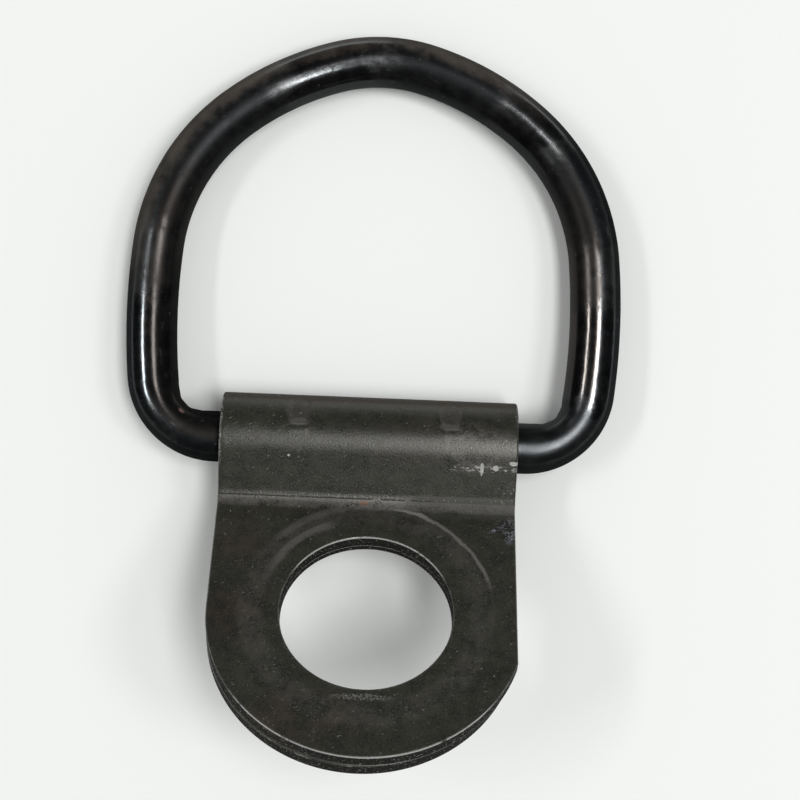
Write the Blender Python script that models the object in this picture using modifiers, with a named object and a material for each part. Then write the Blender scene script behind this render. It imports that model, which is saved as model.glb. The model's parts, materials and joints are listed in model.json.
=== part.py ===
"""A cargo tie-down hook: a D-shaped ring of round bar held in one folded sheet strap.

Two real pieces are built, each as one solid in metres with +Z up. The ring lies on the
ground with its crown towards +Y. The strap hinges on the ring's straight side, and its
holed end is raised from the ground towards -Y.
"""
import math

import bmesh
import bpy
from mathutils import Matrix, Vector

# Driving dimensions in metres and degrees
BAR_DIAMETER = 0.0080
RING_ARCS = ((0.0257, 15.7), (0.0444, 38.7), (0.0311, 84.4), (0.1011, 96.4), (0.0097, 180.0))
SHEET_THICKNESS = 0.0025
BAR_CLEARANCE = 0.0005
LEAF_GAP = 0.0002
STRAP_WIDTH = 0.0456
FLANK_ANGLE = 52.5
BEND_RADIUS = 0.0032
HOLE_DIAMETER = 0.0256
HOLE_FROM_AXIS = 0.02935
HOLE_OFF_CENTRE = 0.00065
REAR_HOLE_LAG = 0.0011
REAR_END_FROM_AXIS = 0.0298
REAR_END_OFF_CENTRE = 0.00025
STRAP_RISE = 38.2
DENT_WIDTH = 0.0033
DENT_DEPTH = 0.00045
DENT_START = -52.0
DENT_END = 16.0
DENT_LEFT = -0.0107
DENT_RIGHT = 0.0127
EDGE_ROUND = 0.0003

# How finely the curves are cut
BAR_BEVEL_RESOLUTION = 12
RING_STEP = 0.0024
STRAIGHT_PARTS = 12
ARC_STEP = 6.0
END_ARC_STEP = 3.0
HOLE_FACETS = 72
RIM_SEGMENTS = 2
CUTTER_OVERRUN = 0.004
WELD_DISTANCE = 0.000002
FLAT_WITHIN = 1.0
RIM_SHARPER_THAN = 50.0
SMOOTH_BELOW = 40.0

# Sizes that follow from the ones above
RING_STARTS = (0.0,) + tuple(turn for radius, turn in RING_ARCS[:-1])
RING_REACH = sum(
    radius * (math.cos(math.radians(start)) - math.cos(math.radians(end)))
    for (radius, end), start in zip(RING_ARCS, RING_STARTS)
)
BAR_RADIUS = BAR_DIAMETER / 2
BARREL_BORE_RADIUS = BAR_RADIUS + BAR_CLEARANCE
BARREL_RADIUS = BARREL_BORE_RADIUS + SHEET_THICKNESS
SEAT_LEVEL = -BARREL_RADIUS
REAR_LEAF_TOP = SEAT_LEVEL + SHEET_THICKNESS
FRONT_LEAF_BACK = REAR_LEAF_TOP + LEAF_GAP
FRONT_FACE_LEVEL = FRONT_LEAF_BACK + SHEET_THICKNESS
LEAF_SPLIT_LEVEL = REAR_LEAF_TOP + LEAF_GAP / 2
FRONT_END_RADIUS = STRAP_WIDTH / 2 + HOLE_OFF_CENTRE
REAR_END_RADIUS = STRAP_WIDTH / 2 + REAR_END_OFF_CENTRE
RING_TILT = math.asin((BARREL_RADIUS - BAR_RADIUS) / RING_REACH)
RISE = math.radians(STRAP_RISE)
REAR_END_REACH = REAR_END_FROM_AXIS + REAR_END_RADIUS
CROWN_Y = RING_REACH * math.cos(RING_TILT) + BAR_RADIUS
REAR_CORNER_Y = (EDGE_ROUND - REAR_END_REACH) * math.cos(RISE) + (SEAT_LEVEL + EDGE_ROUND) * math.sin(RISE)
STRAP_END_Y = REAR_CORNER_Y - EDGE_ROUND
HINGE = Vector((0.0, -(CROWN_Y + STRAP_END_Y) / 2, BARREL_RADIUS))


def arc(centre, radius, start, end, step=ARC_STEP):
    """Points on an arc, angles in degrees, both ends included."""
    count = max(2, math.ceil(abs(end - start) / step))
    points = []
    for index in range(count + 1):
        angle = math.radians(start + (end - start) * index / count)
        points.append((centre[0] + radius * math.cos(angle), centre[1] + radius * math.sin(angle)))
    return points


def new_curve(name, points, dimensions):
    """A closed poly curve through the given points."""
    data = bpy.data.curves.new(name, "CURVE")
    data.dimensions = dimensions
    spline = data.splines.new("POLY")
    spline.points.add(len(points) - 1)
    for target, point in zip(spline.points, points):
        target.co = (point[0], point[1], 0.0, 1.0)
    spline.use_cyclic_u = True
    return data


def mesh_from_curve(data, placement):
    """The mesh of a curve, welded and placed."""
    holder = bpy.data.objects.new(data.name, data)
    bpy.context.scene.collection.objects.link(holder)
    bpy.context.view_layer.update()
    mesh = bpy.data.meshes.new_from_object(holder.evaluated_get(bpy.context.evaluated_depsgraph_get()))
    bpy.data.objects.remove(holder)
    work = bmesh.new()
    work.from_mesh(mesh)
    bmesh.ops.remove_doubles(work, verts=work.verts, dist=WELD_DISTANCE)
    bmesh.ops.recalc_face_normals(work, faces=work.faces)
    work.to_mesh(mesh)
    work.free()
    mesh.transform(placement)
    return mesh


def plate(name, points, depth, placement):
    """A flat outline given a thickness, centred on the outline's plane."""
    data = new_curve(name, points, "2D")
    data.fill_mode = "BOTH"
    data.extrude = depth / 2
    return mesh_from_curve(data, placement)


def new_object(name, mesh, collection):
    """An object for a mesh, linked into its collection."""
    item = bpy.data.objects.new(name, mesh)
    collection.objects.link(item)
    return item


def new_cutter(name, mesh, owner):
    """A helper solid that shapes another one and is never shown."""
    cutter = new_object(name, mesh, cutters)
    cutter.parent = owner
    cutter.hide_render = True
    cutter.display_type = "WIRE"
    return cutter


def boolean(target, cutter, operation):
    """Cut, keep or join one solid with another."""
    modifier = target.modifiers.new(cutter.name, "BOOLEAN")
    modifier.operation = operation
    modifier.solver = "EXACT"
    modifier.object = cutter


def shade(target):
    """Smooth faces that keep the sharp corners."""
    target.data.shade_smooth()
    target.data.set_sharp_from_angle(angle=math.radians(SMOOTH_BELOW))


def new_material(name, colour, roughness, metallic):
    """A plain finish for one solid."""
    material = bpy.data.materials.new(name)
    material.use_nodes = True
    shader = material.node_tree.nodes["Principled BSDF"]
    shader.inputs["Base Color"].default_value = (*colour, 1.0)
    shader.inputs["Roughness"].default_value = roughness
    shader.inputs["Metallic"].default_value = metallic
    return material


def ring_outline():
    """Centreline of the D: arcs that meet tangentially from the crown down, then the straight side."""
    x, y = 0.0, RING_REACH
    half = [(x, y)]
    for (radius, end), start in zip(RING_ARCS, RING_STARTS):
        centre = (x - radius * math.sin(math.radians(start)), y - radius * math.cos(math.radians(start)))
        step = min(ARC_STEP, math.degrees(RING_STEP / radius))
        half += arc(centre, radius, 90.0 - start, 90.0 - end, step)[1:]
        x, y = half[-1]
    side = [(x * (1 - 2 * index / STRAIGHT_PARTS), 0.0) for index in range(1, STRAIGHT_PARTS)]
    mirrored = [(-px, py) for px, py in reversed(half[1:])]
    return half + side + mirrored


def sheet_section():
    """Cut edge of the folded sheet seen from its side: x runs away from the hole, y up from the seat."""
    alpha = math.radians(FLANK_ANGLE)
    bend_y = FRONT_FACE_LEVEL + BEND_RADIUS
    bend_x = (BARREL_RADIUS + BEND_RADIUS - bend_y * math.cos(alpha)) / math.sin(alpha)
    bend = (-bend_x, bend_y)
    centre = (0.0, 0.0)
    end = -(REAR_END_REACH + CUTTER_OVERRUN)
    outer = [(end, SEAT_LEVEL)]
    outer += arc(centre, BARREL_RADIUS, -90.0, 90.0 + FLANK_ANGLE)
    outer += arc(bend, BEND_RADIUS, -90.0 + FLANK_ANGLE, -90.0)
    outer.append((end, FRONT_FACE_LEVEL))
    inner = [(end, FRONT_LEAF_BACK)]
    inner += arc(bend, BEND_RADIUS + SHEET_THICKNESS, -90.0, -90.0 + FLANK_ANGLE)
    inner += arc(centre, BARREL_BORE_RADIUS, 90.0 + FLANK_ANGLE, -90.0)
    inner.append((end, REAR_LEAF_TOP))
    return outer + inner


def leaf_outline(end_centre, end_radius):
    """Plan of a leaf: straight sides and a round end that is tangent to the side at -X only."""
    half = STRAP_WIDTH / 2
    corner = math.degrees(math.acos((half - end_centre[0]) / end_radius))
    top = BARREL_RADIUS + CUTTER_OVERRUN
    return [(half, top), (-half, top)] + arc(end_centre, end_radius, 180.0, 360.0 - corner, END_ARC_STEP)


for old in list(bpy.data.objects):
    bpy.data.objects.remove(old)

hook = bpy.data.collections.new("tie_down_hook")
cutters = bpy.data.collections.new("cutters")
bpy.context.scene.collection.children.link(hook)
bpy.context.scene.collection.children.link(cutters)

# The D ring: one bar bent round and closed, its straight side lying in the strap's barrel
ring_curve = new_curve("d_ring", ring_outline(), "3D")
ring_curve.bevel_depth = BAR_RADIUS
ring_curve.bevel_resolution = BAR_BEVEL_RESOLUTION
ring = new_object("d_ring", mesh_from_curve(ring_curve, Matrix.Identity(4)), hook)
ring.location = HINGE
ring.rotation_euler = (-RING_TILT, 0.0, 0.0)
ring.data.materials.append(new_material("gloss_black_bar", (0.012, 0.012, 0.013), 0.22, 0.0))
shade(ring)

# The strap: one sheet folded over the bar into a barrel and two leaves
along_bar = Matrix(((0, 0, 1, 0), (1, 0, 0, 0), (0, 1, 0, 0), (0, 0, 0, 1)))
strap_mesh = plate("folded_strap", sheet_section(), STRAP_WIDTH + CUTTER_OVERRUN, along_bar)
strap = new_object("folded_strap", strap_mesh, hook)
strap.location = HINGE
strap.rotation_euler = (-RISE, 0.0, 0.0)
strap.data.materials.append(new_material("satin_black_sheet", (0.030, 0.031, 0.027), 0.45, 0.0))

# The plan of each leaf, which trims the folded sheet
front_top = BARREL_RADIUS + CUTTER_OVERRUN
front_low = LEAF_SPLIT_LEVEL - LEAF_GAP / 4
rear_high = LEAF_SPLIT_LEVEL + LEAF_GAP / 4
rear_low = SEAT_LEVEL - CUTTER_OVERRUN
front_plan = leaf_outline((HOLE_OFF_CENTRE, -HOLE_FROM_AXIS), FRONT_END_RADIUS)
rear_plan = leaf_outline((REAR_END_OFF_CENTRE, -REAR_END_FROM_AXIS), REAR_END_RADIUS)
front_place = Matrix.Translation((0, 0, (front_top + front_low) / 2))
rear_place = Matrix.Translation((0, 0, (rear_high + rear_low) / 2))
plan = new_cutter("leaf_plan", plate("leaf_plan", front_plan, front_top - front_low, front_place), strap)
rear = new_cutter("rear_plan", plate("rear_plan", rear_plan, rear_high - rear_low, rear_place), strap)
boolean(plan, rear, "UNION")
boolean(strap, plan, "INTERSECT")

# The hole in each leaf: the two were pierced flat and don't quite line up once folded
hole_front_y = -HOLE_FROM_AXIS
hole_rear_y = -(HOLE_FROM_AXIS - REAR_HOLE_LAG)
for name, hole_y, low, high in (
    ("front_hole", hole_front_y, LEAF_SPLIT_LEVEL, FRONT_FACE_LEVEL + CUTTER_OVERRUN / 2),
    ("rear_hole", hole_rear_y, rear_low, LEAF_SPLIT_LEVEL),
):
    circle = arc((HOLE_OFF_CENTRE, hole_y), HOLE_DIAMETER / 2, 0.0, 360.0, 360.0 / HOLE_FACETS)[:-1]
    place = Matrix.Translation((0, 0, (low + high) / 2))
    boolean(strap, new_cutter(name, plate(name, circle, high - low, place), strap), "DIFFERENCE")

# Flat faces left in pieces by the cuts are joined up, then every rim gets its small round
flats = strap.modifiers.new("flat_faces", "DECIMATE")
flats.decimate_type = "DISSOLVE"
flats.angle_limit = math.radians(FLAT_WITHIN)
rounding = strap.modifiers.new("edge_round", "BEVEL")
rounding.width = EDGE_ROUND
rounding.segments = RIM_SEGMENTS
rounding.limit_method = "ANGLE"
rounding.angle_limit = math.radians(RIM_SHARPER_THAN)

# Two dents pressed into the barrel over the bar
for name, dent_x in (("dent_left", DENT_LEFT), ("dent_right", DENT_RIGHT)):
    sector = arc((0.0, 0.0), BARREL_RADIUS - DENT_DEPTH, 90.0 + DENT_START, 90.0 + DENT_END)
    sector += arc((0.0, 0.0), BARREL_RADIUS + CUTTER_OVERRUN / 2, 90.0 + DENT_END, 90.0 + DENT_START)
    place = Matrix.Translation((dent_x, 0, 0)) @ along_bar
    boolean(strap, new_cutter(name, plate(name, sector, DENT_WIDTH, place), strap), "DIFFERENCE")
shade(strap)
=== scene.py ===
# %% [markdown]
# # A cargo tie-down hook
#
# The real hook is two pieces of steel. A bar of round stock is bent into a closed D, and one sheet
# is folded over its straight side, so that the D swings like a hinge. The sheet's two leaves lie
# on each other, and one big hole goes through both for the bolt.
#
# This file dresses the measured frame of that hook. The frame gives the sizes and the joint. The
# lesson adds what a camera sees: fine meshes, worn coatings, a floor, lamps and a camera.

import json
import math

import bmesh
import bpy
import numpy as np
from mathutils import Matrix, Vector, noise


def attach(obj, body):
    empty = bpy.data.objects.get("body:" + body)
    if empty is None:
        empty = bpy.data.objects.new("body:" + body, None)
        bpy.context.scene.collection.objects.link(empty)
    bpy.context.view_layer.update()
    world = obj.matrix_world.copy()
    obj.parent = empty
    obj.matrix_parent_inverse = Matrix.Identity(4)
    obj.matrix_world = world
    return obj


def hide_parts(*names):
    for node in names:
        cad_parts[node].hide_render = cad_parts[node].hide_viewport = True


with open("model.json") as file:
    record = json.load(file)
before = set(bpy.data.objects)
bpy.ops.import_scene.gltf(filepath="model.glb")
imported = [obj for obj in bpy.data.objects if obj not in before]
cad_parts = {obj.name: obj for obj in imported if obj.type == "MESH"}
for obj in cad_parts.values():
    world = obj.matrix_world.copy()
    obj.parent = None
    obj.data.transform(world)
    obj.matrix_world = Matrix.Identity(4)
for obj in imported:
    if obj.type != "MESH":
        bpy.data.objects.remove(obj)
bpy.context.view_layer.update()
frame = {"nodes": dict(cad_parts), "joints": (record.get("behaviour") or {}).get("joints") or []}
HINGE = Vector(frame["joints"][0]["pos_m"])
print("nodes", sorted(frame["nodes"]), "hinge at", tuple(round(v, 5) for v in HINGE))

# %% [markdown]
# ## The camera
#
# The photograph was taken by hand, almost straight above the hook and about 26 cm from it. A
# camera in Blender could be aimed by eye with a tracking constraint, but the sheet is tilted and
# the hole is an ellipse whose shape tells the angle exactly. So the camera is set from three small
# turns and one offset, measured from the hook's known sizes.

# %% Place the camera
MM = 0.001
RING_TILT = math.radians(2.864)
CAMERA_TURNS = (("Z", -2.302), ("X", -2.901), ("Y", 0.830))
CAMERA_OFFSET = Vector((-0.004840, -0.006613, -0.262648))
FOCAL_PIXELS = 1682.2
PICTURE_PIXELS = 800.0
SENSOR_MM = 36.0

to_camera = Matrix.Identity(3)
for axis, degrees in CAMERA_TURNS:
    to_camera = to_camera @ Matrix.Rotation(math.radians(degrees), 3, axis)
to_camera = to_camera @ Matrix.Rotation(RING_TILT, 3, "X")

camera_data = bpy.data.cameras.new("camera_above")
camera_data.sensor_width = SENSOR_MM
camera_data.lens = SENSOR_MM * FOCAL_PIXELS / PICTURE_PIXELS
camera_data.clip_start = 0.01
camera = bpy.data.objects.new("camera_above", camera_data)
bpy.context.scene.collection.objects.link(camera)
eye = HINGE - to_camera.transposed() @ CAMERA_OFFSET
camera.matrix_world = Matrix.Translation(eye) @ to_camera.transposed().to_4x4()
bpy.context.scene.camera = camera
print("lens", round(camera_data.lens, 1), "mm, camera height", round(eye.z / MM), "mm")

# %% [markdown]
# ## Sheet and bar sizes
#
# Both pieces are built again here with many more and smaller faces than the frame has, because a
# glossy coat shows every facet. The sizes are the frame's own, so each fine mesh lies exactly
# where its plain solid is.

# %% Sizes of the bar and the sheet
BAR_RADIUS = 0.0040
RING_ARCS = ((0.0257, 15.7), (0.0444, 38.7), (0.0311, 84.4), (0.1011, 96.4), (0.0097, 180.0))
SHEET = 0.0025
BORE_RADIUS = 0.0045
FRONT_FACE = -0.0018
SEAT_LEVEL = -0.0070
FLANK = math.radians(52.5)
BEND_RADIUS = 0.0032
HALF_WIDTH = 0.0228
HOLE_RADIUS = 0.0128
HOLE_OFF_CENTRE = 0.00065
FRONT_HOLE_FROM_AXIS = 0.02935
REAR_HOLE_FROM_AXIS = 0.02825
REAR_END_FROM_AXIS = 0.02979
REAR_END_OFF_CENTRE = 0.00025
STRAP_RISE = math.radians(38.2)
RIM_ROUND = 0.00030
print("sheet", round(SHEET / MM, 2), "mm, bar", round(2 * BAR_RADIUS / MM, 2), "mm across")

# %% [markdown]
# ## The path of the folded sheet
#
# The strap starts as a flat blank. A press folds it along a path: flat leaf, a tight bend, a steep
# flank, three quarters of a turn round the bar, and the flat rear leaf. A boolean of boxes and
# cylinders could give the same outline, but its surface would have no rows and columns to press
# dents into. So the blank is meshed flat, with a coordinate across it and one along it, and a
# function carries each flat point to its folded place.

# %% Fold a flat point
MID_BARREL = BORE_RADIUS + SHEET / 2
MID_BEND = BEND_RADIUS + SHEET / 2
bend_height = FRONT_FACE + BEND_RADIUS
bend_back = (BORE_RADIUS + SHEET + BEND_RADIUS - bend_height * math.cos(FLANK)) / math.sin(FLANK)
flank_foot = np.array(
    (-bend_back + MID_BEND * math.sin(FLANK), bend_height - MID_BEND * math.cos(FLANK))
)
flank_top = MID_BARREL * np.array((-math.sin(FLANK), math.cos(FLANK)))
BEND_END = MID_BEND * FLANK
FLANK_END = BEND_END + float(np.linalg.norm(flank_top - flank_foot))
BARREL_END = FLANK_END + MID_BARREL * (math.pi + FLANK)


def folded_path(along):
    """Middle of the sheet and its outward direction at a distance along the blank."""
    bend_turn = np.clip(along / MID_BEND, 0.0, FLANK)
    barrel_turn = math.pi / 2 + FLANK - np.clip(along - FLANK_END, 0.0, None) / MID_BARREL
    share = (along - BEND_END) / (FLANK_END - BEND_END)
    rear = along > BARREL_END
    pieces = (along <= 0.0, along <= BEND_END, along <= FLANK_END, ~rear)
    forward = np.select(
        pieces,
        (
            -bend_back + along,
            -bend_back + MID_BEND * np.sin(bend_turn),
            flank_foot[0] + (flank_top[0] - flank_foot[0]) * share,
            MID_BARREL * np.cos(barrel_turn),
        ),
        BARREL_END - along,
    )
    upward = np.select(
        pieces,
        (
            np.full_like(along, FRONT_FACE - SHEET / 2),
            bend_height - MID_BEND * np.cos(bend_turn),
            flank_foot[1] + (flank_top[1] - flank_foot[1]) * share,
            MID_BARREL * np.sin(barrel_turn),
        ),
        SEAT_LEVEL + SHEET / 2,
    )
    level = np.zeros_like(along)
    turns = (level, bend_turn, level + FLANK, barrel_turn - math.pi / 2)
    facing = np.select(pieces, turns, math.pi)
    return forward, upward, -np.sin(facing), np.cos(facing)


def place_sheet(across, along, height):
    """World places of blank points, height counted from the middle of the sheet."""
    forward, upward, lean, rise = folded_path(along)
    y = forward + lean * height
    z = upward + rise * height
    cosine, sine = math.cos(STRAP_RISE), math.sin(STRAP_RISE)
    turned = (across + HINGE.x, HINGE.y + y * cosine + z * sine, HINGE.z - y * sine + z * cosine)
    return np.stack(turned, axis=-1)


print("blank runs", round(BARREL_END / MM, 1), "mm from the crease to the end of the barrel")

# %% [markdown]
# ## Dents, flatness and torn edges
#
# A punch presses two short dents into the barrel so that the bar doesn't rattle, and it pushes a
# little lip of steel up in front of each. Sheet steel that has been folded is never quite flat.
# Bump mapping could fake both, but the dents show at the silhouette and in the reflections, so
# they move the mesh itself. The edges were cut by a blanking die: smooth where the punch went in,
# torn below.

# %% Press the dents
DENTS = ((-0.0108, 0.0030, 0.1), (0.0126, 0.0030, -0.1))
DENT_NEAR = 0.0138
DENT_FAR = 0.0192
DENT_DEPTH = 0.00055
DENT_WALL = 0.0003
DENT_LEAD = 0.0002
DENT_TAPER = 1.2
LIP_AHEAD = 0.0007
LIP_LENGTH = 0.0005
LIP_HEIGHT = 0.00007
WAVE_HEIGHT = 0.000015
LONG_WAVE, SHORT_WAVE = 90.0, 260.0


def soft_step(value, low, high):
    """0 below low, 1 above high, and smooth between them."""
    share = np.clip((value - low) / (high - low), 0.0, 1.0)
    return share * share * (3.0 - 2.0 * share)


def sheet_relief(across, along):
    """How far the press moved the sheet at a blank point, positive outwards."""
    move = np.zeros_like(across)
    for middle, width, slant in DENTS:
        side = np.abs(across - middle - slant * (along - DENT_NEAR)) - width / 2
        walls = 1.0 - soft_step(side, -DENT_WALL, DENT_WALL)
        ramp = np.clip((DENT_FAR - along) / (DENT_FAR - DENT_NEAR), 0.0, 1.0)
        length = soft_step(along, DENT_NEAR - DENT_LEAD, DENT_NEAR + DENT_WALL) * ramp**DENT_TAPER
        lip = np.exp(-(((along - DENT_NEAR + LIP_AHEAD) / LIP_LENGTH) ** 2))
        move += walls * (LIP_HEIGHT * lip - DENT_DEPTH * length)
    waves = [
        noise.noise(Vector((a * LONG_WAVE, s * LONG_WAVE, 3.0)))
        + 0.5 * noise.noise(Vector((a * SHORT_WAVE, s * SHORT_WAVE, 7.0)))
        for a, s in zip(across.ravel(), along.ravel())
    ]
    return move + WAVE_HEIGHT * (np.array(waves).reshape(across.shape) - 1.0)


print("dents", len(DENTS), "of", round(DENT_DEPTH / MM, 2), "mm")

# %% [markdown]
# ## Meshing the blank
#
# Between the leaves the blank is a plain rectangle, so rows and columns fit it. A leaf has a round
# hole and a round end, and rows and columns would meet those edges at a slant and leave them
# ragged. There the mesh runs in spokes from the hole to the outline instead, and shares its
# points with the rectangle where the two meet.

# %% Rows and columns of the blank
SPACING = 0.00062
FINE_SPACING = 0.00030
BEND_SPACING = 0.00026
FLANK_SPACING = 0.0004
BARREL_SPACING = 0.00036
REAR_SPACING = 0.0008
LEFT_DENT = (-0.0135, -0.0080)
RIGHT_DENT = (0.0098, 0.0153)
QUARTER = tuple(math.radians(22.5 * index) for index in range(5))
ROUND_STEPS = [RIM_ROUND * (1.0 - math.cos(angle)) for angle in QUARTER]


def spaced(low, high, step):
    """Even values from low to high, high left out."""
    count = max(1, round(abs(high - low) / step))
    return [low + (high - low) * index / count for index in range(count)]


inner = HALF_WIDTH - RIM_ROUND
columns = [-HALF_WIDTH + step for step in ROUND_STEPS[:-1]]
for low, high, step in (
    (-inner, LEFT_DENT[0], SPACING),
    (*LEFT_DENT, FINE_SPACING),
    (LEFT_DENT[1], RIGHT_DENT[0], SPACING),
    (*RIGHT_DENT, FINE_SPACING),
    (RIGHT_DENT[1], inner, SPACING),
):
    columns += spaced(low, high, step)
columns += [HALF_WIDTH - step for step in reversed(ROUND_STEPS)]
LEAF_START = BARREL_END + bend_back
PAST_DENTS = DENT_FAR + 0.0005
rows = spaced(0.0, BEND_END, BEND_SPACING) + spaced(BEND_END, FLANK_END, FLANK_SPACING)
rows += spaced(FLANK_END, PAST_DENTS, FINE_SPACING)
rows += spaced(PAST_DENTS, BARREL_END, BARREL_SPACING)
rows += spaced(BARREL_END, LEAF_START, REAR_SPACING) + [LEAF_START]
columns = np.array(columns)
rows = np.array(rows)
print("rectangle of", len(rows), "rows by", len(columns), "columns")

# %% [markdown]
# The rounding of every rim comes from one rule: the closer a point is to a cut edge, the lower it
# lies. So the leaf functions give, for each point, its distance to the nearest cut edge.

# %% Outline of a leaf
SEW_DISTANCE = 0.0000005


class Leaf:
    """One leaf of the blank: its hole, its round end and where it meets the rectangle."""

    def __init__(self, hole_from_start, end_off_centre, end_from_start, start, direction):
        self.hole = np.array((HOLE_OFF_CENTRE, hole_from_start))
        self.end = np.array((end_off_centre, end_from_start))
        self.end_radius = HALF_WIDTH + end_off_centre
        self.start = start
        self.direction = direction

    def outline(self):
        """Points down the left side, round the end, up the right side and along the start."""
        corner = math.acos((HALF_WIDTH - self.end[0]) / self.end_radius)
        corner_depth = self.end[1] + self.end_radius * math.sin(corner)
        left = [(-HALF_WIDTH, depth) for depth in spaced(0.0, self.end[1], SPACING)]
        bow = [
            tuple(self.end + self.end_radius * np.array((math.cos(turn), math.sin(turn))))
            for turn in spaced(math.pi, corner, SPACING / self.end_radius)
        ]
        right = [(HALF_WIDTH, depth) for depth in spaced(corner_depth, 0.0, SPACING)]
        top = [(value, 0.0) for value in columns[::-1]]
        self.free = len(left) + len(bow) + len(right)
        return np.array(left + bow + right + top)

    def edge_distance(self, across, depth):
        """Distance to the nearest cut edge: sides, round end or hole."""
        to_sides = HALF_WIDTH - np.abs(across)
        past_centre = depth > self.end[1]
        to_end = self.end_radius - np.hypot(across - self.end[0], depth - self.end[1])
        to_hole = np.hypot(across - self.hole[0], depth - self.hole[1]) - HOLE_RADIUS
        outer_edge = np.where(past_centre, np.minimum(to_sides, to_end), to_sides)
        return np.minimum(outer_edge, to_hole)

    def inward(self, line):
        """Directions into the steel at points on the outer cut edge."""
        to_centre = self.end - line
        to_centre /= np.linalg.norm(to_centre, axis=1)[:, None]
        sideways = np.stack((-np.sign(line[:, 0]), np.zeros(len(line))), axis=-1)
        on_side = np.abs(line[:, 0]) > HALF_WIDTH - SEW_DISTANCE
        return np.where(on_side[:, None], sideways, to_centre)

    def along(self, depth):
        """Distance along the whole blank."""
        return self.start + self.direction * depth


front_leaf = Leaf(
    FRONT_HOLE_FROM_AXIS - bend_back,
    HOLE_OFF_CENTRE,
    FRONT_HOLE_FROM_AXIS - bend_back,
    0.0,
    -1.0,
)
rear_leaf = Leaf(
    REAR_HOLE_FROM_AXIS - bend_back,
    REAR_END_OFF_CENTRE,
    REAR_END_FROM_AXIS - bend_back,
    LEAF_START,
    1.0,
)
print("front outline", len(front_leaf.outline()), "points, of which cut edge", front_leaf.free)

# %% [markdown]
# The skin of the strap is gathered grid by grid: two faces and two side walls for the rectangle,
# and for each leaf two faces and the walls of its hole and of its outer edge. Every wall is torn
# inwards in its middle, as a punched edge is.

# %% Rims, torn edges and the collector of grids
SPOKE_ROWS = 20
WALL_ROWS = 7
TEAR_DEPTH = 0.00005
TEAR_GRAIN, TEAR_LAYERS = 1500.0, 2500.0
half = SHEET / 2


def rim_drop(distance):
    """How far the rounding lowers a face at a distance from the cut edge."""
    inside = np.clip(RIM_ROUND - distance, 0.0, RIM_ROUND)
    return RIM_ROUND - np.sqrt(RIM_ROUND**2 - inside**2)


class Skin:
    """Collects grids of blank points and the quads between them."""

    def __init__(self):
        self.points = []
        self.quads = []
        self.count = 0

    def add(self, across, along, height, edge, closed=False):
        """A grid of points, one quad between each four."""
        lines, width = across.shape
        self.points.append(np.stack([v.ravel() for v in (across, along, height, edge)], axis=-1))
        wide = width if closed else width - 1
        for line in range(lines - 1):
            for place in range(wide):
                a = self.count + line * width + place
                b = self.count + line * width + (place + 1) % width
                self.quads.append((a, b, b + width, a + width))
        self.count += lines * width


def tear(across, along, height):
    """Roughness of the torn part of a cut edge, always inwards."""
    values = [
        noise.noise(Vector((a * TEAR_GRAIN, s * TEAR_GRAIN, h * TEAR_LAYERS)))
        for a, s, h in zip(across.ravel(), along.ravel(), height.ravel())
    ]
    return TEAR_DEPTH * np.abs(np.array(values)).reshape(across.shape)


print("rims rounded by", round(RIM_ROUND / MM, 2), "mm")

# %% Skin of the rectangle
skin = Skin()
wall_heights = np.linspace(half - RIM_ROUND, RIM_ROUND - half, WALL_ROWS)
bulge = np.sin(np.linspace(0.0, math.pi, WALL_ROWS))[:, None]
grid_across, grid_along = np.meshgrid(columns, rows)
grid_edge = HALF_WIDTH - np.abs(grid_across)
for face in (1.0, -1.0):
    height = face * (half - rim_drop(grid_edge))
    skin.add(grid_across, grid_along, height, grid_edge)
for side in (1.0, -1.0):
    wall_along, wall_height = np.meshgrid(rows, wall_heights)
    wall_across = np.full_like(wall_along, side * HALF_WIDTH)
    wall_across -= side * tear(wall_across, wall_along, wall_height) * bulge
    skin.add(wall_across, wall_along, wall_height, np.zeros_like(wall_along))
print("rectangle", len(skin.quads), "quads")

# %% Skin of the two leaves
round_steps = np.array(ROUND_STEPS)
shares = np.linspace(0.0, 1.0, SPOKE_ROWS + 2)[1:-1]
for leaf in (front_leaf, rear_leaf):
    rim = leaf.outline()
    spokes = rim - leaf.hole
    lengths = np.hypot(spokes[:, 0], spokes[:, 1])
    spokes = spokes / lengths[:, None]
    hole_rim = leaf.hole + spokes * HOLE_RADIUS
    reach = lengths - HOLE_RADIUS
    inner_rows = round_steps[:, None] * np.ones_like(reach)[None, :]
    clear = reach - 2 * RIM_ROUND
    middle_rows = RIM_ROUND + shares[:, None] * clear[None, :]
    outer_rows = reach[None, :] - round_steps[::-1][:, None]
    steps = np.concatenate((inner_rows, middle_rows, outer_rows))
    across = hole_rim[None, :, 0] + spokes[None, :, 0] * steps
    depth = hole_rim[None, :, 1] + spokes[None, :, 1] * steps
    edge = np.clip(leaf.edge_distance(across, depth), 0.0, None)
    for face in (1.0, -1.0):
        height = face * (half - rim_drop(edge))
        skin.add(across, leaf.along(depth), height, edge, closed=True)
    outer = rim[: leaf.free + 1]
    for line, inward, closed in ((hole_rim, spokes, True), (outer, leaf.inward(outer), False)):
        wall_height = np.repeat(wall_heights[:, None], len(line), axis=1)
        wall_u = np.repeat(line[None, :, 0], WALL_ROWS, axis=0)
        wall_d = np.repeat(line[None, :, 1], WALL_ROWS, axis=0)
        shift = tear(wall_u, leaf.along(wall_d), wall_height) * bulge
        skin.add(
            wall_u + shift * inward[None, :, 0],
            leaf.along(wall_d + shift * inward[None, :, 1]),
            wall_height,
            np.zeros_like(wall_u),
            closed=closed,
        )

blank = np.concatenate(skin.points)
print("blank points", len(blank), "quads", len(skin.quads))

# %% [markdown]
# The walls, the faces and the leaves were made as loose grids whose borders lie on each other.
# Merging points by distance sews them into one closed skin. Every point also remembers where it
# was on the blank, so that the finish can be painted in the blank's own coordinates.

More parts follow.
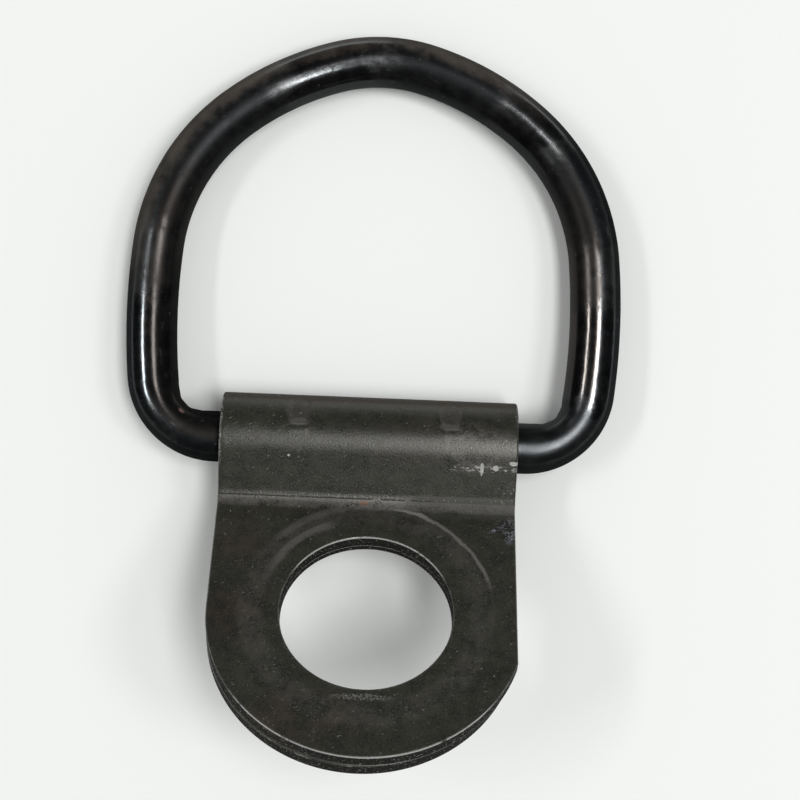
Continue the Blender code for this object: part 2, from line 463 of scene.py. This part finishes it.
# %% Sew the strap
def sewn_piece(name, places, quads, marks):
    """A closed smooth-shaded object whose points carry named numbers."""
    mesh = bpy.data.meshes.new(name)
    mesh.from_pydata([tuple(place) for place in places], [], quads)
    for key, values in marks.items():
        mark = mesh.attributes.new(key, "FLOAT", "POINT")
        mark.data.foreach_set("value", np.ascontiguousarray(values, dtype=np.float32))
    work = bmesh.new()
    work.from_mesh(mesh)
    bmesh.ops.remove_doubles(work, verts=work.verts, dist=SEW_DISTANCE)
    bmesh.ops.recalc_face_normals(work, faces=work.faces)
    open_edges = sum(1 for edge in work.edges if not edge.is_manifold)
    work.to_mesh(mesh)
    work.free()
    mesh.shade_smooth()
    piece = bpy.data.objects.new(name, mesh)
    bpy.context.scene.collection.objects.link(piece)
    print(name, len(mesh.polygons), "quads,", open_edges, "open edges")
    return piece


relief = sheet_relief(blank[:, 0], blank[:, 1])
strap = sewn_piece(
    "strap_sheet",
    place_sheet(blank[:, 0], blank[:, 1], blank[:, 2] + relief),
    skin.quads,
    dict(zip(("across", "along", "height", "rim"), blank.T / MM)),
)
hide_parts("folded_strap")
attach(strap, "strap")

# %% [markdown]
# ## The ring
#
# The D is bent cold from one bar. Blender's curve with a round bevel would sweep the bar in two
# lines, but the real bar isn't the same all the way round: the inside of each tight bend is
# squeezed and the outside is stretched flatter. So the sweep is written out, one circle of points
# after another, and the circle changes shape in the bends.

# %% Centreline of the bar
BAR_STEP = 0.00055
AROUND = 72
SQUEEZE = 0.00012
PINCH = 0.00085
BAR_WAVES = 0.000014
BAR_THINNED = 0.000044


def bent_bar():
    """Place, turn and distance of each station, from the top of the D to its straight side."""
    starts = [0.0] + [end for radius, end in RING_ARCS[:-1]]
    x = 0.0
    y = sum(
        radius * (math.cos(math.radians(start)) - math.cos(math.radians(end)))
        for (radius, end), start in zip(RING_ARCS, starts)
    )
    stations = [(x, y, 0.0, 0.0)]
    start = distance = 0.0
    for radius, end in RING_ARCS:
        first, last = math.radians(start), math.radians(end)
        centre = (x - radius * math.sin(first), y - radius * math.cos(first))
        count = math.ceil(radius * (last - first) / BAR_STEP)
        for index in range(1, count + 1):
            turn = first + (last - first) * index / count
            x, y = centre[0] + radius * math.sin(turn), centre[1] + radius * math.cos(turn)
            stations.append((x, y, turn, distance + radius * (turn - first)))
        distance += radius * (last - first)
        start = end
    count = math.ceil(x / BAR_STEP)
    for index in range(1, count):
        run = x * index / count
        stations.append((x - run, 0.0, math.pi, distance + run))
    return np.array(stations)


right = bent_bar()
left = right[:0:-1] * np.array((-1.0, 1.0, -1.0, -1.0))
foot = np.array(((0.0, 0.0, math.pi, right[-1][3] + BAR_STEP),))
stations = np.concatenate((right, foot, left))
print("stations", len(stations), "bar length", round(2 * foot[0][3] / MM), "mm")

# %% Sweep the ring
tight_start = math.radians(RING_ARCS[3][1])
WRINKLE_LENGTH = 0.00052


def ring_radius(turn, around, distance):
    """Radius at a station and an angle round the bar, 0 outwards and a quarter turn upwards."""
    into_bend = np.clip((np.abs(turn) - tight_start) / (math.pi - tight_start), 0.0, 1.0)
    bend = np.sin(into_bend * math.pi)
    inwards = np.clip(-np.cos(around), 0.0, 1.0)
    outwards = np.clip(np.cos(around), 0.0, 1.0)
    wrinkle = 0.5 + 0.5 * np.sin(distance / WRINKLE_LENGTH)
    waves = np.array(
        [
            noise.noise(Vector((d * 120.0, math.cos(a) * 0.9, math.sin(a) * 0.9)))
            + 0.4 * noise.noise(Vector((d * 420.0, math.cos(a) * 1.7, 5.0 + math.sin(a) * 1.7)))
            for d, a in zip(distance.ravel(), around.ravel())
        ]
    ).reshape(distance.shape)
    outside = -SQUEEZE * bend * outwards**2
    inside = (SQUEEZE * wrinkle * bend - PINCH * bend**2) * inwards**2
    return BAR_RADIUS - BAR_THINNED + outside + inside + BAR_WAVES * waves


angles = np.linspace(0.0, 2 * math.pi, AROUND, endpoint=False)
station_angle, station_turn = np.meshgrid(angles, stations[:, 2])
station_distance = np.repeat(stations[:, 3][:, None], AROUND, axis=1)
radius = ring_radius(station_turn, station_angle, station_distance)
outward_x, outward_y = np.sin(station_turn), np.cos(station_turn)
flat_x = stations[:, 0][:, None] + radius * np.cos(station_angle) * outward_x
flat_y = stations[:, 1][:, None] + radius * np.cos(station_angle) * outward_y
flat_z = radius * np.sin(station_angle)
lean_cosine, lean_sine = math.cos(RING_TILT), math.sin(RING_TILT)
ring_places = np.stack(
    (
        HINGE.x + flat_x,
        HINGE.y + flat_y * lean_cosine + flat_z * lean_sine,
        HINGE.z - flat_y * lean_sine + flat_z * lean_cosine,
    ),
    axis=-1,
).reshape(-1, 3)
ring_quads = []
for station in range(len(stations)):
    here, there = station * AROUND, (station + 1) % len(stations) * AROUND
    for index in range(AROUND):
        beside = (index + 1) % AROUND
        ring_quads.append((here + index, here + beside, there + beside, there + index))
ring = sewn_piece(
    "ring_bar",
    ring_places,
    ring_quads,
    {
        "bar_distance": station_distance.ravel() / MM,
        "bar_outward": np.cos(station_angle).ravel(),
        "bar_upward": np.sin(station_angle).ravel(),
    },
)
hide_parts("d_ring")
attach(ring, "ring")

# %% [markdown]
# ## A small language for finishes
#
# A finish is a graph of shader nodes. Graphs grow large, and lines of links are hard to read, so
# one small class lets Python's own plus, minus and times add the Math nodes. Another class has a
# single method that makes any node from its type, its settings and what goes into its sockets.

# %% A number in a shader
class Value:
    """A number in a shader that follows Python's arithmetic."""

    def __init__(self, finish, socket):
        self.finish = finish
        self.socket = socket

    def combine(self, operation, first, second=0.0):
        return self.finish.node("ShaderNodeMath", {"operation": operation}, {0: first, 1: second})

    def __add__(self, other):
        return self.combine("ADD", self, other)

    def __radd__(self, other):
        return self.combine("ADD", other, self)

    def __sub__(self, other):
        return self.combine("SUBTRACT", self, other)

    def __rsub__(self, other):
        return self.combine("SUBTRACT", other, self)

    def __mul__(self, other):
        return self.combine("MULTIPLY", self, other)

    def __rmul__(self, other):
        return self.combine("MULTIPLY", other, self)

    def __truediv__(self, other):
        return self.combine("DIVIDE", self, other)

    def __pow__(self, other):
        return self.combine("POWER", self, other)

    def __abs__(self):
        return self.combine("ABSOLUTE", self)

    def most(self, other):
        return self.combine("MAXIMUM", self, other)

    def least(self, other):
        return self.combine("MINIMUM", self, other)


print("shader numbers ready")

# %% A finish, with one method for every node
class Finish:
    """A material whose nodes are made by one method."""

    def __init__(self, name):
        self.material = bpy.data.materials.new(name)
        self.material.use_nodes = True
        self.tree = self.material.node_tree
        self.shader = self.tree.nodes["Principled BSDF"]
        self.surface = Value(self, self.shader.outputs[0])

    def feed(self, socket, value):
        if isinstance(value, Value):
            self.tree.links.new(value.socket, socket)
        else:
            socket.default_value = value

    def node(self, kind, settings=None, sockets=None, output=0):
        made = self.tree.nodes.new(kind)
        for key, value in (settings or {}).items():
            setattr(made, key, value)
        for key, value in (sockets or {}).items():
            self.feed(made.inputs[key], value)
        return Value(self, made.outputs[output])

    def set(self, **sockets):
        for key, value in sockets.items():
            self.feed(self.shader.inputs[key.replace("_", " ")], value)

    def blend(self, share, **numbers):
        """Mixes in the same shader with other plain numbers."""
        other = self.tree.nodes.new("ShaderNodeBsdfPrincipled")
        for old, new in zip(self.shader.inputs, other.inputs):
            if old.is_linked:
                self.tree.links.new(old.links[0].from_socket, new)
            elif hasattr(old, "default_value"):
                new.default_value = old.default_value
        for key, value in numbers.items():
            other.inputs[key.replace("_", " ")].default_value = value
        shaders = {1: self.surface, 2: Value(self, other.outputs[0])}
        self.surface = self.node("ShaderNodeMixShader", None, {0: share, **shaders})
        self.feed(self.tree.nodes["Material Output"].inputs["Surface"], self.surface)

    def mark(self, name):
        """A number that the mesh's points carry."""
        return self.node("ShaderNodeAttribute", {"attribute_name": name}, output="Fac")

    def vector(self, x, y, z):
        return self.node("ShaderNodeCombineXYZ", None, {0: x, 1: y, 2: z})

    def millimetres(self):
        """A surface point's own place, in millimetres."""
        place = self.node("ShaderNodeTexCoord", output="Object")
        scaled = {0: place, "Scale": 1.0 / MM}
        return self.node("ShaderNodeVectorMath", {"operation": "SCALE"}, scaled)

    def noise(self, place, scale, detail, roughness):
        sockets = {"Vector": place, "Scale": scale, "Detail": detail, "Roughness": roughness}
        return self.node("ShaderNodeTexNoise", None, sockets, output="Fac")

    def step(self, value, low, high):
        """0 at low, 1 at high, smooth between."""
        sockets = {"Value": value, "From Min": low, "From Max": high, "To Min": 0.0, "To Max": 1.0}
        return self.node("ShaderNodeMapRange", {"interpolation_type": "SMOOTHSTEP"}, sockets)

    def mix(self, share, first, second):
        """Colour first where share is 0 and second where it is 1."""
        colours = [c if isinstance(c, Value) else (*c, 1.0) for c in (first, second)]
        sockets = {0: share, 6: colours[0], 7: colours[1]}
        return self.node("ShaderNodeMix", {"data_type": "RGBA"}, sockets, output=2)

    def bump(self, height, distance, strength):
        sockets = {"Height": height, "Distance": distance, "Strength": strength}
        return self.node("ShaderNodeBump", None, sockets)


print("shader helpers ready")

# %% [markdown]
# ## The strap's finish
#
# The sheet has a thin satin conversion coat, dark olive-grey, that drinks a little oil. It is
# scuffed where the bolt's washer turned, chipped on the barrel, rubbed to bare steel along the
# lower rim and stained a little brown. Each of those is a mask: a number between 0 and 1 that is
# computed from the blank's coordinates and noise, and that moves the colour, roughness and metal
# of one shader. A painted image could do it too, but masks stay sharp at any distance.

# %% Places on the strap
sheet = Finish("satin_olive_sheet")
across, along, rim = sheet.mark("across"), sheet.mark("along"), sheet.mark("rim")
height = sheet.mark("height")
place = sheet.millimetres()
HOLE_AT = (HOLE_OFF_CENTRE / MM, -(FRONT_HOLE_FROM_AXIS - bend_back) / MM)
print("hole on the blank at", tuple(round(v, 2) for v in HOLE_AT), "mm")

# %% [markdown]
# Most marks have one of three shapes: a soft oval, a small ragged chip, and an arc round the
# hole. Each is a distance in millimetres on the blank, turned into a mask by a smooth step.

# %% Shapes of the marks
CHIP_RAGGED = 3.0


def patch(finish, u, s, middle, reach, softness):
    """1 inside an oval, fading at its border."""
    side = (u - middle[0]) / reach[0]
    up = (s - middle[1]) / reach[1]
    return 1.0 - finish.step(side * side + up * up, 1.0 - softness, 1.0 + softness)


def oval(middle, reach, softness):
    """A soft oval on the blank."""
    return patch(sheet, across, along, middle, reach, softness)


def chip(middle, reach, ragged):
    """A small oval on the blank with a ragged border."""
    side = (across - middle[0]) / reach[0]
    up = (along - middle[1]) / reach[1]
    return 1.0 - sheet.step(side * side + up * up + (ragged - 0.5) * CHIP_RAGGED, 0.75, 1.1)


def arc(radius, width):
    """1 on a circle round the hole, fading on both sides."""
    off = from_hole + (mottle - 0.5) - radius
    return 1.0 - sheet.step(abs(off), width * 0.3, width)


def broken(coarse_share, low, high):
    """A mask that breaks a mark up, from coarse and fine noise."""
    return sheet.step(mottle * coarse_share + grain * (1.0 - coarse_share), low, high)


print("shapes: patch, oval, chip and arc")

# %% Noises, from large clouds to single specks
cloud = sheet.noise(place, 0.09, 4.0, 0.55)
mottle = sheet.noise(place, 0.45, 4.0, 0.6)
grain = sheet.noise(place, 3.6, 4.0, 0.7)
speck = sheet.noise(place, 2.2, 2.0, 0.5)
brushed = sheet.noise(sheet.vector(across * 0.35, along * 2.6, height), 1.0, 3.0, 0.6)
scratch_place = sheet.vector(across * 0.9 + along * 0.5, along * 6.0 - across * 2.2, height)
scratches = sheet.step(sheet.noise(scratch_place, 1.3, 2.0, 0.5), 0.70, 0.76)
print("noises on", len(sheet.tree.nodes), "nodes")

# %% [markdown]
# The bolt's washer has turned on the front leaf. It left arcs round the upper half of the hole,
# brightest on the right, close to the crease, and a faintly paler ring where it sat. Along the
# crease the coat is painted pale, partly as a rub of the press and partly as a painted highlight
# of the bend, brightest in its middle, and a thin dark line is drawn along it.

# %% Marks of the washer and the press, and a painted highlight in the crease
from_hole_u = across - HOLE_AT[0]
from_hole_s = along - HOLE_AT[1]
from_hole = (from_hole_u * from_hole_u + from_hole_s * from_hole_s) ** 0.5
front = sheet.step(along, 0.9, 0.3)
right_arc = arc(18.8, 0.42) * sheet.step(across, -3.0, 1.0)
right_arc = right_arc * (0.75 + sheet.step(across, 12.0, 5.0) * 0.75)
left_arc = arc(18.3, 0.8) * sheet.step(across, -1.0, -4.0)
inner_arc = arc(16.0, 0.9) * sheet.step(across, -4.0, -6.5)
left_arcs = (left_arc * 0.3 + inner_arc * 0.5) * sheet.step(across, -16.0, -11.0)
high_side = sheet.step(from_hole_s, 3.0, 8.0)
washer = front * high_side * (right_arc * 1.2 + left_arcs).least(1.6)
washer_seat = front * sheet.step(from_hole, 14.6, 15.8) * sheet.step(from_hole, 19.4, 18.2)
washer_seat = washer_seat * broken(0.6, 0.32, 0.60)
# The crease is painted pale, partly a rub and partly a painted highlight of the bend.
crease_band = sheet.step(along, -0.1, 0.9) * sheet.step(along, 2.7, 2.4)
crease_highlight_middle = oval((1.2, 1.6), (5.0, 1.4), 0.8)
crease_rub_and_highlight = crease_band * (0.52 + crease_highlight_middle * 0.48) * broken(0.5, 0.34, 0.56)
off_crease_line = abs(along - 2.75 + (mottle - 0.5) * 0.35)
crease_line = (1.0 - sheet.step(off_crease_line, 0.06, 0.18)) * sheet.step(across, 14.0, 4.0)
crease_line = crease_line * sheet.step(mottle, 0.36, 0.50)
bend_dull = sheet.step(across, 4.0, 9.0) * sheet.step(along, 4.2, 3.0)
bend_dull = bend_dull * sheet.step(along, -1.2, -0.2)
crease_dots = sheet.step(along, 2.7, 2.9) * sheet.step(along, 3.9, 3.3)
crease_dots = crease_dots * sheet.step(speck, 0.60, 0.66)
print("washer and press marks, now", len(sheet.tree.nodes), "nodes")

# %% [markdown]
# The coat wears off where it is thin or knocked: along rims and at the barrel's two ends. Every
# point of the mesh carries its distance to the nearest cut edge, which finds the rims, and noise
# breaks the worn line up. The cut faces never had a smooth coat, and glints show in their torn
# part.

# %% Worn rims
cut_face = sheet.step(rim, 0.02, 0.0)
rim_near = 1.0 - sheet.step(rim + (mottle - 0.5) * 0.10, 0.04, 0.17)
low_end = front * sheet.step(from_hole_s, -13.0, -17.0) * sheet.step(from_hole, 20.0, 21.0)
hole_rim = front * sheet.step(from_hole, 13.6, 13.3) * sheet.step(from_hole_s, 5.0, 9.0)
left_end = sheet.step(across, -21.8, -22.0) * sheet.step(along, 7.0, 9.0)
left_end = left_end * sheet.step(along, 19.5, 17.5)
right_end = sheet.step(across, 21.8, 22.0) * sheet.step(along, 14.0, 16.0)
right_end = right_end * sheet.step(along, 20.0, 18.5)
end_near = 1.0 - sheet.step(rim + (mottle - 0.5) * 2.0, 0.10, 0.40)
end_worn = (left_end + right_end * 0.7) * end_near * broken(0.6, 0.40, 0.54)
low_end_worn = low_end * sheet.step(mottle, 0.34, 0.46)
hole_rim_worn = hole_rim * sheet.step(mottle, 0.30, 0.45)
elsewhere_worn = 0.3 * sheet.step(mottle, 0.54, 0.66)
rims_worn = (low_end_worn + hole_rim_worn + elsewhere_worn).least(1.0)
rubbed_rim = rim_near * (1.0 - cut_face) * rims_worn
torn = cut_face * sheet.step(grain, 0.60, 0.70)
print("rims, now", len(sheet.tree.nodes), "nodes")

# %% [markdown]
# Knocks have chipped the barrel's right side down to the steel, in a short row with crumbs
# between and a pale smear above, and one more chip lies on the left. A blue scuff from something
# painted lies on the right edge. The punched dents are painted pale at their lower ends and on
# their floors, partly as a rub and partly as a painted highlight where their slopes face the
# light.

# %% Chips, scuffs, rubs and a painted highlight in the dents
CHIPS = (
    ((17.4, 8.6), (0.30, 1.0)),
    ((19.5, 8.8), (0.50, 0.45)),
    ((22.2, 9.6), (0.7, 0.35)),
    ((-12.1, 9.6), (0.22, 0.20)),
)
ragged = speck * 0.45 + grain * 0.55
chips = 0.0
for middle, reach in CHIPS:
    chips = chip(middle, reach, ragged) + chips
crumbs = sheet.noise(sheet.vector(across * 1.1, along * 2.4, height), 1.0, 3.0, 0.6)
chip_row = oval((17.6, 8.6), (5.2, 0.5), 0.7) * sheet.step(crumbs, 0.50, 0.58)
low_row = oval((21.3, 5.6), (1.4, 1.4), 0.7) * sheet.step(ragged, 0.56, 0.62)
chips = (chips + chip_row * 0.7 + low_row * 0.4).least(1.0)
smear = oval((16.5, 11.2), (5.5, 3.0), 0.9) * broken(0.5, 0.44, 0.58)
slanted = along - across * 0.5
scuff_line = patch(sheet, across, slanted, (20.6, -12.4), (1.6, 0.35), 0.9)
scuff = (oval((21.8, -2.6), (0.9, 2.0), 0.9) + scuff_line) * broken(0.4, 0.44, 0.60)
low_scuff = oval((0.6, -31.7), (4.2, 0.5), 0.7) * sheet.step(grain, 0.45, 0.6)
# The dents' pale paint is partly a rub and partly a painted highlight.
dent_rub_and_highlight = oval((-10.7, 14.2), (1.5, 0.6), 0.6) + oval((12.3, 14.2), (1.7, 0.5), 0.6)
dent_floor_rub_and_highlight = oval((-11.0, 16.0), (1.7, 2.6), 0.3) + oval((12.4, 16.0), (1.7, 2.6), 0.3)
dots = sheet.step(speck, 0.72, 0.75)
print("chips and scuffs, now", len(sheet.tree.nodes), "nodes")

# %% Stains, a painted shade by the left edge and a painted sheen on the barrel's back
rust_spot = oval((-0.4, 1.9), (0.7, 0.5), 0.8)
brown_side = oval((-19.0, -13.0), (4.5, 9.0), 0.9)
brown_low = oval((-7.0, -35.0), (7.0, 4.0), 0.9)
brown_high = oval((8.0, 12.0), (14.0, 2.5), 0.9)
# Painted shade darkens the front leaf near its left edge.
left_shade = oval((-21.0, -20.0), (2.6, 6.0), 0.9)
# Painted sheen: brown round the back of the barrel stands in for its reflection.
rear_edge_painted_sheen = sheet.step(along, 16.2, 18.4) * sheet.step(along, 24.0, 21.5)
stain = (brown_side + brown_low + brown_high * 0.6) * sheet.step(
    cloud * 0.5 + mottle * 0.5, 0.42, 0.60
)
print("stains, now", len(sheet.tree.nodes), "nodes")

# %% [markdown]
# All masks now meet in one shader. The strongest mask that bares steel wins, and those that make
# the coat pale add up. Where the sheet faces sideways, on its cut faces, oil and dirt have left it
# without a sheen. Round the back of the barrel the reflection is taken away and a painted brown
# sheen stands in for it. At both places a copy of the shader with no reflection takes over.

# %% Strap shader
DARK_COAT = (0.0170, 0.0171, 0.0137)
LIGHT_COAT = (0.0370, 0.0362, 0.0290)
SHADED_COAT = (0.0045, 0.0042, 0.0042)
BROWN_STAIN_AND_PAINTED_SHEEN = (0.042, 0.028, 0.021)
PALE_WEAR_AND_HIGHLIGHT = (0.150, 0.142, 0.130)
RUST = (0.145, 0.060, 0.028)
LINE_BLACK = (0.004, 0.004, 0.004)
BLUE_SCUFF = (0.27, 0.29, 0.36)
BARE_STEEL = (0.60, 0.60, 0.58)
OILY_TINT = (1.0, 0.99, 0.93, 1.0)
SATIN = 0.32
BUMP_HEIGHT = 0.00006

bare = rubbed_rim
for mask, share in (
    (end_worn, 0.45),
    (chips, 0.75),
    (torn, 0.7),
    (scratches, 0.2),
    (low_scuff, 0.22),
    (dots, 0.3),
    (crease_dots, 0.15),
):
    bare = bare.most(mask * share)
# Pale paint: wear marks, and in the crease and the dents partly a painted highlight.
pale = washer * 0.70
for mask, share in (
    (washer_seat, 0.11),
    (smear, 0.40),
    (crease_rub_and_highlight, 0.60),
    (dent_rub_and_highlight, 0.22),
    (dent_floor_rub_and_highlight, 0.14),
    (scratches, 0.15),
):
    pale = pale + mask * share

tone = mottle * 0.35 + cloud * 0.20 + grain * 0.45
coat = sheet.mix(sheet.step(tone, 0.35, 0.65), DARK_COAT, LIGHT_COAT)
# Painted shade darkens the cut faces and the front leaf by its left edge.
coat = sheet.mix((cut_face * 0.85).most(left_shade * 0.35), coat, SHADED_COAT)
# Brown stains, and the painted brown sheen round the back of the barrel.
coat = sheet.mix((stain * 0.5).most(rear_edge_painted_sheen * 0.55).least(1.0), coat, BROWN_STAIN_AND_PAINTED_SHEEN)
coat = sheet.mix(pale.least(1.0), coat, PALE_WEAR_AND_HIGHLIGHT)
coat = sheet.mix(rust_spot * 0.8, coat, RUST)
coat = sheet.mix(crease_line * 0.85, coat, LINE_BLACK)
coat = sheet.mix(scuff * 0.7, coat, BLUE_SCUFF)
coat = sheet.mix(bare.least(1.0), coat, BARE_STEEL)
uneven = SATIN + (mottle - 0.5) * 0.20 + (grain - 0.5) * 0.28
fine = grain * 0.8 + brushed * 0.1 + mottle * 0.3
worn_down = bare * 0.15 + scratches * 0.2 + crease_line * 0.5
sheet.set(
    Base_Color=coat,
    Roughness=(uneven - bare * 0.10 + crease_line * 0.3 + bend_dull * 0.30).least(0.85),
    Metallic=bare * 0.4,
    IOR=1.5,
    Specular_IOR_Level=0.80,
    Specular_Tint=OILY_TINT,
    Normal=sheet.bump(fine - worn_down, BUMP_HEIGHT, 0.8),
)
no_sheen = (cut_face * 0.9).most(rear_edge_painted_sheen * 0.8) * (1.0 - bare.least(1.0))
sheet.blend(no_sheen, Specular_IOR_Level=0.0)
strap.data.materials.append(sheet.material)
print("strap finish", len(sheet.tree.nodes), "nodes")

# %% [markdown]
# ## The ring's finish
#
# The bar was dipped in a glossy black coat, and use has changed it along its length. A few
# lengths still shine like a mirror. The rest has gone satin, the flanks have gone matt, and a
# brown tone shows on the top of the D. A film of oil tints its highlights from warm white to pale
# blue. A clear coat over a black base would be a common way to do it, but its reflection is as
# strong at every place. So the gloss is the shader's own, and further copies of the shader are
# mixed in by masks: one with a cool tint, two that mirror more strongly, one of them cool too,
# and one without a reflection.

# %% Places and noises on the bar
bar = Finish("gloss_black_bar")
distance, outward = bar.mark("bar_distance"), bar.mark("bar_outward")
upward = bar.mark("bar_upward")
place = bar.millimetres()
cloud = bar.noise(place, 0.08, 3.0, 0.5)
mottle = bar.noise(place, 0.5, 4.0, 0.6)
grain = bar.noise(place, 3.0, 3.0, 0.6)
drawn = bar.noise(bar.vector(distance * 0.25, outward * 5.0, upward * 5.0), 1.0, 3.0, 0.55)
flecks = bar.step(bar.noise(place, 1.7, 2.0, 0.5), 0.70, 0.74)
print("noises on", len(bar.tree.nodes), "nodes")

# %% [markdown]
# Distance along the bar, in millimetres from the top of the D, says where a mark lies, and
# `outward` and `upward` say on which side of the bar. The glossy lengths are a short table: start,
# end, how softly they end, and how strong they are.

# %% Where the bar is brown, rubbed, dull or glossy
GLOSSY_LENGTHS = (
    (-13.0, -4.0, 8.0, 1.0),
    (24.0, 28.0, 7.0, 0.95),
    (-72.0, -62.0, 10.0, 1.0),
    (-53.0, -49.0, 4.0, 0.4),
    (50.0, 57.0, 5.0, 0.5),
    (59.0, 71.0, 5.0, 1.0),
    (72.0, 86.0, 6.0, 0.4),
)
crown = 1.0 - bar.step(abs(distance + 14.0), 26.0, 46.0)
worn_side = bar.step(outward + (mottle - 0.5) * 0.35, 0.08, 0.62)
brown = (crown * worn_side * bar.step(cloud * 0.75 + mottle * 0.25, 0.27, 0.62)).least(1.0)
rubs = bar.step(drawn, 0.60, 0.72) * bar.step(mottle, 0.48, 0.62)
left_leg = bar.step(distance, 0.0, -30.0)
inside = (1.0 - crown) * bar.step(outward, 0.10, -0.03) * (0.3 + left_leg * 0.7)
nick = patch(bar, distance, outward * 4.0, (-78.6, -2.2), (0.6, 0.28), 0.9)
nick = nick * bar.step(upward, 0.0, 0.3)
worn_distance = distance + (mottle - 0.5) * 7.0 + (drawn - 0.5) * 7.0
glossy = 0.0
for start, end, fade, strength in GLOSSY_LENGTHS:
    begins = bar.step(worn_distance, start - fade, start)
    ends = bar.step(worn_distance, end + fade, end)
    glossy = (begins * ends * strength).most(glossy)
dull = 1.0 - glossy
right_inner = bar.step(distance, 20.0, 40.0) * bar.step(outward, -0.1, -0.4)
flank = 1.0 - bar.step(abs(upward), 0.66, 0.90)
dull_side = flank * (1.0 - crown * 0.1 - right_inner * 0.15)
print("ring masks, now", len(bar.tree.nodes), "nodes")

# %% Ring shader
COAT_BLACK = (0.0030, 0.0031, 0.0034)
COAT_GREY = (0.0065, 0.0064, 0.0064)
BROWN_TOP = (0.066, 0.055, 0.046)
RUBBED = (0.035, 0.034, 0.036)
FLECK = (0.12, 0.12, 0.12)
NICK = (0.22, 0.13, 0.12)
WARM_TINT = (1.0, 0.91, 0.85, 1.0)
COOL_TINT = (0.82, 0.93, 1.0, 1.0)
GLOSS = 0.16
GLOSSIEST = 0.09
COAT_IOR = 1.8
MIRROR_IOR = 2.7
SKIN_BUMP = 0.00004

colour = bar.mix(bar.step(mottle, 0.35, 0.65), COAT_BLACK, COAT_GREY)
colour = bar.mix(brown * 0.95, colour, BROWN_TOP)
colour = bar.mix(rubs * 0.35, colour, RUBBED)
colour = bar.mix(flecks * 0.30, colour, FLECK)
colour = bar.mix(nick * 0.55, colour, NICK)
gloss = GLOSS + (mottle - 0.5) * 0.18 + brown * dull * 0.26 + rubs * 0.14
gloss = (gloss + inside * 0.03 + dull * 0.26).most(GLOSSIEST)
bar.set(
    Base_Color=colour,
    Roughness=gloss,
    Normal=bar.bump(grain * 0.25 + mottle * 0.8 + drawn * 0.5, SKIN_BUMP, 0.6),
    IOR=COAT_IOR,
    Specular_Tint=WARM_TINT,
)
top = 1.0 - bar.step(abs(distance), 30.0, 44.0)
right_bend = bar.step(distance, 68.0, 74.0)
cool = bar.step(outward + (drawn - 0.5) * 0.5, 0.0, 0.25).most(top * 0.7).most(right_bend)
mirror = glossy * (1.0 - inside) * 0.9
satin_top = dull * bar.step(upward, -0.2, 0.3)
no_sheen = (dull_side * 0.95).most(inside * 0.62).most(satin_top * 0.72)
bar.blend(cool, Specular_Tint=COOL_TINT)
bar.blend(mirror, IOR=MIRROR_IOR)
bar.blend(mirror * cool, IOR=MIRROR_IOR, Specular_Tint=COOL_TINT)
bar.blend(no_sheen, Specular_IOR_Level=0.0)
ring.data.materials.append(bar.material)
print("ring finish", len(bar.tree.nodes), "nodes")

# %% [markdown]
# ## Floor and light
#
# The hook lies on a plain pale floor. One long lamp hangs nearly overhead, and a narrow one
# farther to the left. Each draws a line of light on every part of the round bar, which is why two
# lines run side by side down each leg of the D. Daylight from the right gives the legs a shadow
# on their left, and a pale ceiling and walls fill all shadows. Those are far dimmer to look at
# than a lamp, so they light the scene but aren't seen in the bar. A picture of a room wrapped
# round the scene would do the same, but lamps of known shape can be moved one by one.

# %% Floor
FLOOR_HALF = 6.0
FLOOR_COLOUR = (0.885, 0.905, 0.885, 1.0)
corners = [(x * FLOOR_HALF, y * FLOOR_HALF, 0.0) for x, y in ((-1, -1), (1, -1), (1, 1), (-1, 1))]
floor_mesh = bpy.data.meshes.new("pale_floor")
floor_mesh.from_pydata(corners, [], [(0, 1, 2, 3)])
floor = bpy.data.objects.new("pale_floor", floor_mesh)
bpy.context.scene.collection.objects.link(floor)
paint = Finish("pale_floor_paint")
paint.set(Base_Color=FLOOR_COLOUR, Roughness=0.6, Specular_IOR_Level=0.0)
floor.data.materials.append(paint.material)
print("floor", 2 * FLOOR_HALF, "m square")

# %% Lamps
def lamp(name, direction, height, length, width, turn, white_share):
    """A long lamp in a direction from the hook that lights white by a share of full white."""
    data = bpy.data.lights.new(name, "AREA")
    data.shape = "RECTANGLE"
    data.size = length
    data.size_y = width
    towards = Vector(direction).normalized()
    reach = height / towards.z
    data.energy = white_share * math.pi**2 * reach**2 / towards.z
    item = bpy.data.objects.new(name, data)
    bpy.context.scene.collection.objects.link(item)
    item.matrix_world = (
        Matrix.Translation(HINGE + towards * reach)
        @ towards.to_track_quat("Z", "Y").to_matrix().to_4x4()
        @ Matrix.Rotation(math.radians(turn), 4, "Z")
    )
    print(name, round(data.energy, 1), "W at", round(reach, 2), "m")
    return item


lamp("lamp_overhead", (0.25, -0.01, 0.97), 1.5, 0.88, 0.32, 12.0, 0.47)
lamp("lamp_left", (-0.62, 0.06, 0.82), 1.5, 0.80, 0.16, 0.0, 0.12)
for item in (
    lamp("lamp_right", (0.55, 0.0, 0.83), 1.5, 0.35, 0.35, 0.0, 0.11),
    lamp("lamp_soft", (0.0, 0.0, 1.0), 2.0, 3.0, 3.0, 0.0, 0.08),
):
    item.visible_glossy = False

# %% Even light of the room
ROOM_LIGHT = 0.31
world = bpy.data.worlds.new("dim_room")
bpy.context.scene.world = world
world.use_nodes = True
background = world.node_tree.nodes["Background"]
background.inputs["Color"].default_value = (1.0, 1.0, 1.0, 1.0)
background.inputs["Strength"].default_value = ROOM_LIGHT
world.cycles_visibility.glossy = False
bpy.context.scene.view_settings.view_transform = "Standard"
print("room light", ROOM_LIGHT)
